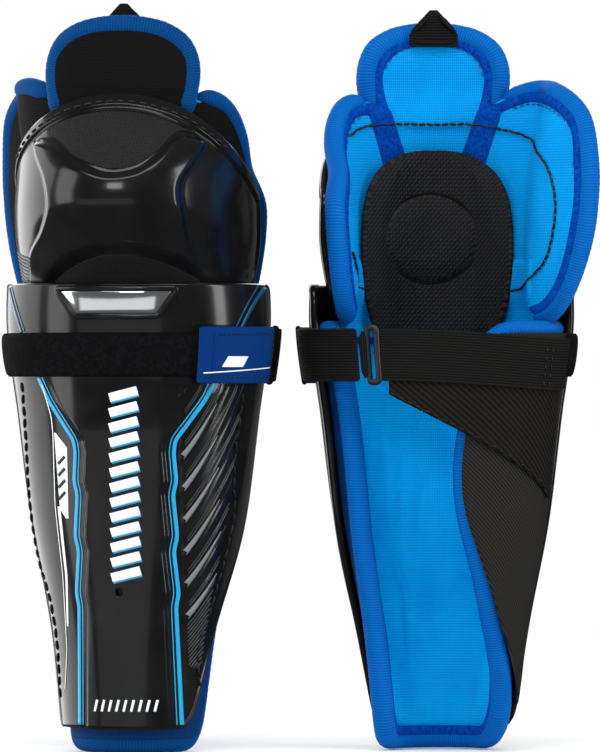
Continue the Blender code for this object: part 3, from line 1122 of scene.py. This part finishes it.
def front_strap():
    """The loop strip round the front, and the pull tab that closes on it, with its hook patch."""
    strip = edged_patch(
        shin, fixed(STRAP_JOIN, 84.0), 179.4, 198.6, 1.9, 0.35, 24, 150,
        radius=5.0, scale=1.05, fat=1.5, turns=6,
    )
    sheet = ((0.021, 0.207), "stretched", None)
    add("loop_strip", strip, "loop", "shin", ["loop_strip"], sheet=sheet)
    band = edged_patch(
        shin, fixed(84.0, 139.0), *STRAP_RISE, 5.9, 4.2, 24, 60, radius=1.0, scale=1.1
    )
    sheet = ((0.0236, 0.066), "stretched", None)
    add("tab_strap", band, "elastic", "tab", ["tab_strap"], sheet=sheet)
    hook = edged_patch(shin, fixed(36.8, 80.0), 178.0, 200.0, 3.9, 2.4, 16, 60, scale=1.05)
    add("hook_patch", hook, "plastic", "tab", ["hook_patch"])
    tab = edged_patch(
        shin, fixed(35.5, 83.3), 176.3, 201.6, 6.0, 4.3, 30, 80, radius=0.8, scale=1.05, fat=0.5
    )
    sheet = ((0.0253, 0.053), "stretched", None)
    add("pull_tab", tab, "tab", "tab", ["pull_tab"], sheet=sheet)
    crease = roll_mesh(shin, upright(41.5, *STRAP_RISE, 30), 6.2, 0.8, 0.7, False)
    add("tab_crease", crease, "tab", "tab")
    edge = edged_patch(shin, fixed(79.8, 84.2), 176.0, 201.9, 6.6, 4.2, 20, 8, radius=1.0)
    add("tab_edge", edge, "panel", "tab")
    runs = []
    for ends in (
        [(43.5, 198.6), (77.5, 199.2)],
        [(77.5, 199.2), (78.0, 181.5)],
        [(37.5, 178.2), (78.5, 178.4)],
    ):
        runs.append(stitch_mesh(shin, even_path(ends, 0.5), 6.5, 1.7, 0.9, 0.3))
    add("tab_stitching", joined(runs), "thread", "tab")
    line = ribbon_mesh(even_path([(37.0, 180.4), (77.0, 183.0)], 0.9), 0.5, 6.85, 0.15, shin)
    sides = slanted(45.5, 56.5, 0.55, 183.2)
    slant = edged_patch(shin, sides, 183.4, 188.2, 6.9, 6.6, 8, 16, turns=2)
    add("tab_marks", joined([line, slant]), "white", "tab")


def upright(across, low, high, count):
    """A straight path up a surface."""
    return pairs(np.full(count, across), np.linspace(low, high, count))


def band_fall(angle):
    """How far the calf band has dropped on its way to the outer side."""
    return BAND_FALL * step(-206.0, -116.0, angle)


def tilted(angle, z, offset):
    return shin(angle, z - band_fall(angle), offset)


def calf_band():
    """The elastic band behind the calf, the gusset that it pulls on, and the ring at its end."""
    band = edged_patch(
        tilted, fixed(-211.0, STRAP_JOIN), 177.4, 200.6, 2.3, 0.6, 26, 110, radius=1.0, scale=0.9
    )
    sheet = ((0.024, 0.094), "stretched", None)
    add("elastic_band", band, "elastic", "band", ["elastic_band"], sheet=sheet)
    u, v = even_rows(36, 90)
    angle = -208.0 + 94.0 * u
    low = 170.5 - 49.5 * u
    z = low + (178.4 - band_fall(angle) - low) * v
    outer, inner = shin(angle, z, 1.8 - 1.2 * v), shin(angle, z, 0.7 - 0.6 * v)
    gusset = pad_mesh(outer, inner, pairs(angle * 0.9, z), 4, 0.8)
    sheet = ((0.058, 0.094), "stretched", 0.0029)
    add("calf_gusset", gusset, "gusset", "band", ["calf_gusset"], sheet=sheet)
    hem = even_path([(-207.5, 171.2), (-114.5, 122.4)], 0.8)
    runs = [stitch_mesh(shin, hem, 1.9, 3.0, 1.6, 0.35)]
    for angle in (-133.0, -129.0):
        runs.append(stitch_mesh(tilted, upright(angle, 178.0, 200.0, 40), 2.4, 2.6, 1.4, 0.35))
    add("band_stitching", joined(runs), "thread", "band")
    ring = [(-217.0, 176.0), (-212.3, 176.0), (-212.3, 202.0), (-217.0, 202.0)]
    path = soften(even_path([(a * 0.9, z) for a, z in ring], 0.8, True), 4)
    path[:, 0] /= 0.9
    add("strap_ring", roll_mesh(shin, path, 1.9, 1.5, 1.3), "plastic", "band", ["strap_ring"])
    fold = roll_mesh(shin, upright(-218.6, 178.0, 200.4, 30), 3.0, 1.8, 1.8, False)
    add("strap_fold", fold, "elastic", "band")


# ---------------------------------------------------------------- the knee

DOME_LEFT = ((226, -47), (236, -45), (247, -36), (258, -31), (271, -32.5), (286, -40), (296, -43))
DOME_RIGHT = ((226, 39), (235, 37), (255, 35.5), (272, 35.5), (279, 39), (289, 43), (296, 44))
DOME_ARC = (
    (-46, 291), (-34, 291.5), (-24, 288), (-19, 283.5), (-8.3, 278), (0.7, 275.2),
    (8, 275.4), (17, 278.5), (23, 284), (28.5, 292), (38, 292.5), (46, 290),
)


def cup_top(angle):
    return 268.0 + 44.0 * np.maximum(0.0, np.cos(np.radians(angle)))


def cap_relief(angle, x, z):
    """How far the knee cap's face stands out of its plain wrap."""
    top = cup_top(angle) - z
    side = (CUP_REACH - np.abs(angle)) * 0.95
    rim = np.minimum(top, side)
    flange = 0.9 * (1 - step(4.4, 5.4, rim)) - 0.9 * np.exp(-((rim - 6.4) ** 2) / 0.9)
    left = x - smooth_rows(DOME_LEFT, z)[..., 0]
    right = smooth_rows(DOME_RIGHT, z)[..., 0] - x
    under = smooth_rows(DOME_ARC, x)[..., 0] - z
    dome = step(-0.5, 4.5, left) * step(-0.5, 4.5, right) * step(0.0, 4.0, under)
    below = smile(x) + 5.0 - z
    dent = step(-1.5, 5.0, below) * step(0, 6, 38 - np.abs(x - 2))
    ridge = 0.8 * np.exp(-((below + 3.5) ** 2) / 14.0) * step(0, 8, 40 - np.abs(x - 2))
    return flange + 3.4 * dome + ridge - 3.2 * dent


def cap(angle, z, offset):
    values = smooth_rows(CUP, z)[..., 0]
    x = values * np.sin(np.radians(angle))
    return on_wrap(CUP, angle, z, cap_relief(angle, x, z) + offset)


def cap_face(x, z, lift):
    return cap(face_angle(CUP, x, z), z, lift)


def smile(x):
    """The height of the curved edge of the mesh under the cap's dome."""
    return 236.5 - 0.0105 * (x - 3.0) ** 2


def grain(low, high, rows, columns, lift, least=0.0):
    """A thin layer of mesh on the cap's face between two heights, which are functions of x."""
    u, v = even_rows(rows, columns, 0.0)
    x = -31.0 + 68.0 * u
    z = low(x) + np.maximum(high(x) - low(x), least) * v
    return pad_mesh(cap_face(x, z, lift), cap_face(x, z, 0.1), pairs(x, z), 2, 0.5)


def knee_cap():
    u, v = even_rows(150, 260, 0.2)
    angle = CUP_REACH * (2.0 * u - 1.0)
    z = CUP_BOTTOM + (cup_top(angle) - CUP_BOTTOM) * v
    near = np.clip(10.0 - (CUP_REACH - np.abs(angle)) * 0.95, 0, 10)
    z = z + (10.0 - np.sqrt(100.0 - near**2)) * (0.5 - v) * 1.4
    inner = on_wrap(CUP, angle, z, -SHELL_WALL)
    shape = pad_mesh(cap(angle, z, 0.0), inner, pairs(angle, z), 4, 0.7)
    add("cap", shape, "shell", "knee", ["knee_cap"])
    arc = lambda x: smooth_rows(DOME_ARC, x)[..., 0] + 1.2
    top = lambda x: cup_top(np.degrees(np.arcsin(x / 56.0))) - 8.0
    upper_grain = grain(arc, top, 30, 80, 0.32, 0.6)
    lower_grain = grain(lambda x: 217.0, smile, 24, 60, 0.3)
    add("cap_grain", joined([upper_grain, lower_grain]), "fine_mesh", "knee")
    lines = []
    for number in range(9):
        x = np.linspace(-54.5, -41.5 - 0.5 * number, 26)
        path = pairs(x, 234.5 - 1.7 * number + 0.021 * (x + 42) ** 2)
        lines.append(ribbon_mesh(path, 0.7, 0.4, 0.35, cap_face))
    add("cap_ribs", joined(lines), "plastic", "knee")
    angle = np.linspace(-66, 66, 420)
    path = even_path(pairs(angle, cup_top(angle) - 3.0), 0.7)
    add("cap_stitching", stitch_mesh(cap, path, 0.1, 3.6, 1.7, 0.5), "thread", "knee")


def knee_foam():
    u, v = even_rows(24, 60, 0.4)
    angle = -63.0 + 126.0 * u
    z = 228.0 + (cup_top(angle) - 6.5 - 228.0) * v
    outer, inner = on_wrap(CUP, angle, z, -3.6), on_wrap(UPPER, angle, z, 0.2)
    filler = pad_mesh(outer, inner, pairs(angle, z), 6, 0.25)
    add("knee_foam", filler, "wrap", "knee", ["knee_foam"], fill=0.8)


# Upper and lower edges of each half of the knee liner: distance along it, height.
HIGH = {
    -1: (
        (0, 304), (22, 305), (34, 312), (44, 315), (54, 317), (70, 316.2), (84, 315), (92, 313.4),
        (100, 308.6), (106, 302), (111, 293.5), (115, 283.5), (117.5, 273),
    ),
    1: (
        (0, 304), (22, 305), (34, 311), (43, 310.5), (50, 308), (57, 302), (66, 293), (76, 284),
        (86, 277.5), (96, 271.5), (103, 265), (108, 258.5),
    ),
}
LOW = {
    -1: (
        (0, 226), (64, 226), (76, 216), (86, 208), (94, 206), (100, 211), (106, 220), (111, 230),
        (115, 241), (117.5, 253),
    ),
    1: ((0, 226), (64, 226), (76, 215), (86, 207), (93, 207), (99, 215), (104, 227), (108, 243)),
}
TIP = {-1: 117.5, 1: 108.0}
SIDE = {-1: "lateral", 1: "medial"}


def wing_piece(side, first, trim, offsets, fat, under, rows, columns):
    """A patch of the liner from a distance along it to its wing's tip."""
    u, v = even_rows(rows, columns, 0.5)
    tip = TIP[side] - trim
    run = first + (tip - first) * np.sin(u * math.pi / 2)
    key = np.clip(run * TIP[side] / tip, 0, TIP[side])
    low = smooth_rows(LOW[side], key)[..., 0] + trim
    high = smooth_rows(HIGH[side], key)[..., 0] - trim
    z = low + (high - low) * v
    place = upper(side)
    full = (4 * v * (1 - v)) ** 0.4 * step(0.0, 0.12, 1 - u)
    if first > 0:
        full = full * step(0.0, 0.15, u)
    outer = place(run, z, offsets[1] + fat * full)
    inner = place(run, z, offsets[0] - under * full)
    return pad_mesh(outer, inner, pairs(run * side, z), 4, 0.9)


def wing_edge(side, top, foot, inset=0.0, pull=0.0):
    """Points round the wing from a distance along its upper edge to one along its lower edge."""
    edge = [(s, z - inset) for s, z in HIGH[side] if s > top]
    edge += [(s, z + inset) for s, z in LOW[side][::-1] if s > foot]
    return [(s - max(0.0, s - TIP[side] + 9) * pull, z) for s, z in edge]


def wing_bend(side):
    """The wing's body, and where the liner starts to follow it and follows it fully."""
    x = 56.5 * side
    return SIDE[side] + "_wing", (x, -4.0, 260.0), (x + side * 3.0, 13.0, 260.0)


def knee_liner():
    """Each half of the padded liner behind the knee, with its wing's rim, panel, tape and seam."""
    for side in (-1, 1):
        word = SIDE[side]
        place = upper(side)
        bend = wing_bend(side)
        nodes = [word + "_wing_pad"] + (["knee_liner"] if side < 0 else [])
        half = wing_piece(side, 0.0, 2.5, (-6.8, -0.9), 0.0, 1.6, 60, 90)
        add("knee_liner_" + word, half, "knit", "knee", nodes, bend, fill=0.6)
        path = soften(even_path(wing_edge(side, 30, 80), 1.5), 14, False)
        rim = roll_mesh(place, path, -3.0, 4.7, 4.9, False, ribs=RIM_RIBS)
        add("wing_rim_" + word, rim, "rim", "knee", [word + "_wing_binding"], bend, fill=0.5)
        panel = wing_piece(side, 27.0, 3.2, (-0.7, 0.5), 0.9, 0.0, 40, 60)
        add("wing_panel_" + word, panel, "panel", "knee", [word + "_wing_panel"], bend, fill=0.3)
        # A dark brushed band along the rim's inner edge; its darkness also stands in for the shade
        # there, so it is partly painted shade.
        path = soften(even_path(wing_edge(side, 20, 82, 3.6, 0.4), 1.5), 14, False)
        tape = roll_mesh(place, path, -7.4, 2.6, 1.2, False)
        add("wing_tape_and_shade_" + word, tape, "rough", "knee", (), bend, fill=0.2)
        path = soften(even_path(wing_edge(side, 42, TIP[side], 7.0, 0.75), 0.8), 20, False)
        sewn = stitch_mesh(place, path, -8.2, *SEWN)
        add("wing_stitching_" + word, sewn, "blue_thread", "knee", (), bend)


KNEE_SEAMS = {
    -1: (
        (
            (0, 300.5), (20, 300.5), (38, 298), (60, 294), (80, 288.5), (94, 280), (100.5, 266),
            (101, 246), (97, 233), (84, 224), (64, 220.5), (44, 220),
        ),
    ),
    1: (
        ((0, 300.5), (22, 300.5), (46, 298), (58, 294)),
        ((101, 238), (88, 229), (68, 222), (46, 221)),
    ),
}


def knee_seams():
    """The black seams across the liner, and the brushed strips that run up to the thigh flap."""
    for side in (-1, 1):
        place = upper(side)
        runs = [
            stitch_mesh(place, curve_path(rows, 0.7), -9.4, 3.6, 0.2, 0.7, 0.22)
            for rows in KNEE_SEAMS[side]
        ]
        add("knee_seam_" + SIDE[side], joined(runs), "thread", "knee", (), wing_bend(side))
        u, v = even_rows(40, 16)
        middle, half = 19.0 + 11.5 * v, 7.8 - 1.6 * v
        run, z = middle + half * (2 * u - 1), 271.0 + 39.0 * v
        sunk = 2.2 * step(0.88, 1.0, v)
        inner = place(run, z, sunk - 8.8 - 0.6 * crown(u, v))
        strip = pad_mesh(place(run, z, sunk - 7.6), inner, pairs(run, z), 4)
        add("brushed_strip_" + SIDE[side], strip, "rough", "knee", (), fill=0.2)


def knee_fold():
    """The soft bridge behind the knee cap's lower edge, sewn to the foot of the knee liner."""
    u, v = even_rows(44, 120, 0.5)
    angle, z = -99.0 + 198.0 * u, 199.0 + 34.0 * v
    deep = 4.4 + 4.5 * step(203.0, 222.0, z)
    outer = on_wrap(UPPER, angle, z, -1.0)
    inner = on_wrap(UPPER, angle, z, -deep - 0.4 * crown(u, v))
    bend = ("knee", (0.0, -25.0, 206.0), (0.0, -25.0, 227.0))
    fold = pad_mesh(outer, inner, pairs(angle, z), 4, 0.8)
    add("knee_fold", fold, "knit", "shin", (), bend, fill=0.3)


MESH_PAD = (
    (198, 43), (204, 46.5), (212, 51.5), (225, 56), (240, 57.6), (254, 56.5), (264, 53), (272, 47),
    (278, 39), (282.4, 29), (285.4, 19), (287, 5),
)
DISC_SHIFT = 2.6
DISC_HALF = (23.4, 20.0)
DISC_HEIGHT = 245.4


def disc_angle(across):
    """The angle of a point of the centre pad, at a sideways distance from the pad's middle."""
    return np.degrees(np.arcsin(np.clip((across + DISC_SHIFT) / 41.0, -1, 1)))


def knee_pads():
    """The black mesh pad over the liner, the domed disc on it, and the groove round the disc."""
    u, v = even_rows(70, 80, 0.7)
    z = 198.5 + 88.3 * v
    angle = smooth_rows(MESH_PAD, z)[..., 0] * (2 * u - 1)
    inner = mesh_wrap(angle, z, -3.6 - 1.6 * crown(u, v, 0.3))
    pad = pad_mesh(mesh_wrap(angle, z, -0.9), inner, pairs(angle * 0.75, z), 6)
    add("knee_mesh_pad", puff(pad, 1.2), "mesh", "knee", ["knee_mesh_pad"], fill=0.5)
    a, b = np.meshgrid(np.linspace(-1, 1, 45), np.linspace(-1, 1, 45))
    across = a * np.sqrt(1 - b * b / 2) * DISC_HALF[0]
    up = b * np.sqrt(1 - a * a / 2) * DISC_HALF[1]
    far = np.hypot(across / DISC_HALF[0], up / DISC_HALF[1])
    dome = 2.2 * np.sqrt(np.maximum(0, 1 - far**4))
    angle, z = disc_angle(across), DISC_HEIGHT + up
    outer, inner = mesh_wrap(angle, z, -4.4), mesh_wrap(angle, z, -6.6 - dome)
    disc = puff(pad_mesh(outer, inner, pairs(across, up), 4), 1.0)
    add("knee_centre_pad", disc, "mesh", "knee", ["knee_centre_pad"], fill=0.7)
    turn = np.linspace(0, 2 * math.pi, 200)[:-1]
    angle = disc_angle((DISC_HALF[0] + 1.6) * np.cos(turn))
    ring = pairs(angle, DISC_HEIGHT + (DISC_HALF[1] + 1.6) * np.sin(turn))
    groove = roll_mesh(mesh_wrap, even_path(ring, 1.4, True), -5.3, 0.7, 0.6)
    add("knee_pad_seam", groove, "panel", "knee")


# ---------------------------------------------------------------- the thigh

THIGH_EDGE = (
    (-29.5, 300), (-30.6, 308), (-31.6, 315), (-32.4, 322), (-31.6, 329), (-28.2, 336), (-21, 341),
    (-10.5, 343.8), (0, 344.5), (10.5, 343.8), (21, 341), (28.2, 336), (31.6, 329), (32.4, 322),
    (31.6, 315), (30.6, 308), (29.5, 300),
)
THIGH_BEND = ("thigh", (0.0, -43.5, 310.0), (0.0, -43.5, 322.0))


def thigh_piece(trim, low, offsets, fat, under, tuck):
    """A layer of the thigh flap. tuck is how far its two faces sink behind the knee cap."""
    u, v = even_rows(60, 70, 0.6)
    half = 33.0 - trim - 2.6 * (1 - step(298.0, 320.0, low + (340.0 - low) * v))
    side = (-1 + 2 * u) * half
    top = 345.4 - trim - 14.0 * (np.abs(side) / half) ** 3.2
    z = low + (top - low) * v
    full = crown(u, v)
    down = 1 - step(299.0, 320.0, z)
    outer = thigh(side, z, offsets[1] + fat * full - tuck[1] * down)
    inner = thigh(side, z, offsets[0] - under * full - tuck[0] * down)
    return pad_mesh(outer, inner, pairs(side, z), 5, 0.8)


def tucked(side, height, offset):
    """The thigh flap's surface, sunk behind the knee cap at its foot."""
    return thigh(side, height, offset - 4.8 * (1 - step(299.0, 320.0, height)))


def thigh_flap():
    """The flap above the knee. Its lower end is sewn to the knee liner."""
    pad = puff(thigh_piece(2.6, 298.0, (-3.6, 2.2), 0.3, 1.4, (5.0, 3.0)), 1.2)
    add("thigh_pad", pad, "knit", "knee", ["thigh_pad"], THIGH_BEND, fill=0.6)
    cover = thigh_piece(3.0, 303.0, (2.2, 3.9), 0.9, 0.0, (1.0, 1.0))
    add("thigh_panel", cover, "panel", "knee", ["thigh_panel"], THIGH_BEND, fill=0.3)
    rim = roll_mesh(thigh, curve_path(THIGH_EDGE, 1.5), -0.6, 5.4, 5.2, False, ribs=RIM_RIBS)
    add("thigh_rim", rim, "rim", "knee", ["thigh_binding"], THIGH_BEND, fill=0.5)
    # A dark brushed band along the rim's inner edge; its darkness also stands in for the shade
    # there, so it is partly painted shade.
    path = curve_path([(x * 0.9, z - 3.4 * step(318.0, 336.0, z)) for x, z in THIGH_EDGE], 1.5)
    tape = roll_mesh(tucked, path, -4.6, 2.6, 1.3, False)
    add("thigh_tape_and_shade", tape, "rough", "knee", (), THIGH_BEND, fill=0.2)
    path = curve_path([(x * 0.84, z - 5.4) for x, z in THIGH_EDGE[4:-4]], 0.8)
    add("thigh_stitching", stitch_mesh(thigh, path, -5.6, *SEWN), "blue_thread", "thigh")


def hang_tab():
    """The small folded tab of webbing behind the flap's top edge."""
    sides = mirrored([(338.5, 12.8), (343.5, 12.8), (346.0, 11.6), (354.2, 2.9), (355.2, 1.8)])
    web = edged_patch(thigh, sides, 338.5, 355.2, -6.9, -8.0, 30, 30)
    sheet = ((0.0256, 0.0168), "folded", 0.00031)
    add("hang_tab", web, "elastic", "hang_tab", ["hang_tab"], sheet=sheet)
    folds = []
    for ends, thick in (
        ([(-11.2, 345.2), (-2.4, 353.6)], (1.5, 0.7)),
        ([(11.2, 345.2), (2.4, 353.6)], (1.5, 0.7)),
        ([(-11.4, 341.0), (11.4, 341.0)], (1.7, 0.6)),
    ):
        folds.append(roll_mesh(thigh, even_path(ends, 0.9), -8.3, *thick, False))
    add("hang_tab_folds", joined(folds), "elastic", "hang_tab")


# ---------------------------------------------------------------- the stage


def camera():
    data = bpy.data.cameras.new("camera")
    data.lens = 400.0
    data.sensor_width = 36.0
    made = show("camera", data)
    made.location = (0.0, -4.0, 0.179)
    made.rotation_euler = (math.radians(90), 0, 0)
    bpy.context.scene.camera = made


def softbox(name, place, target, size, power):
    data = bpy.data.lights.new(name, "AREA")
    data.shape = "RECTANGLE"
    data.size, data.size_y = size
    data.energy = power
    made = show(name, data)
    made.location = place
    aim = Vector(target) - Vector(place)
    made.rotation_euler = aim.to_track_quat("-Z", "Y").to_euler()


def surround():
    """White to the camera, dim in reflections, and a soft fill for everything else."""
    world = bpy.data.worlds.new("surround")
    bpy.context.scene.world = world
    world.use_nodes = True
    tree = world.node_tree
    tree.nodes.clear()
    path = tree.nodes.new("ShaderNodeLightPath")

    def background(strength):
        made = tree.nodes.new("ShaderNodeBackground")
        made.inputs["Color"].default_value = (1, 1, 1, 1)
        made.inputs["Strength"].default_value = strength
        return made

    def choose(ray, otherwise, then):
        made = tree.nodes.new("ShaderNodeMixShader")
        tree.links.new(path.outputs[ray], made.inputs["Fac"])
        tree.links.new(otherwise.outputs[0], made.inputs[1])
        tree.links.new(then.outputs[0], made.inputs[2])
        return made

    unseen = choose("Is Glossy Ray", background(0.3), background(0.12))
    out = tree.nodes.new("ShaderNodeOutputWorld")
    tree.links.new(choose("Is Camera Ray", unseen, background(1.0)).outputs[0], out.inputs[0])


def floor():
    """A plain pale disc, half a millimetre under the guards."""
    points, count = [(0.0, 0.0, 0.0)], 96
    for k in range(count):
        turn = 2 * math.pi * k / count
        points.append((900.0 * math.cos(turn), 900.0 * math.sin(turn), 0.0))
    mesh = make_mesh(points, [(0, k + 1, (k + 1) % count + 1) for k in range(count)])
    look = Look("pale_floor", (0.93, 0.93, 0.93), 0.9)
    look.roughness(look.noise(4.0), 0.85, 0.95)
    mesh.materials.append(look.material)
    made = show("floor", mesh)
    made.location = (0, 0, -0.0005)
    made.visible_glossy = False


def lights():
    """Soft boxes round the guards. low_card is under the floor, which reflections don't see."""
    softbox("left", (-1.5, -0.5, 0.45), (-0.05, 0, 0.17), (0.6, 1.4), 10)
    softbox("left_behind", (-1.3, 0.8, 0.4), (-0.07, 0, 0.17), (1.9, 1.4), 22)
    softbox("low_card", (-0.47, -1.17, -0.23), (-0.077, -0.058, 0.21), (1.7, 0.4), 1.5)
    softbox("right", (1.5, -0.6, 0.5), (0.05, 0, 0.17), (0.35, 1.3), 13)
    softbox("top", (0.0, -0.8, 1.5), (0, 0, 0.15), (1.6, 0.6), 17)
    softbox("front", (-0.35, -2.4, 1.1), (0, 0, 0.18), (0.8, 0.5), 14)
    softbox("behind", (0.0, 1.3, 0.9), (0, 0, 0.15), (1.4, 0.6), 10)


bpy.context.scene.view_settings.view_transform = "Standard"
camera()
surround()
floor()
lights()
shell()
prints()
badge()
shell_stitches()
shin_liner()
calf_wrap()
front_strap()
calf_band()
knee_cap()
knee_foam()
knee_liner()
knee_fold()
knee_seams()
knee_pads()
thigh_flap()
hang_tab()
place_pieces(make_looks())
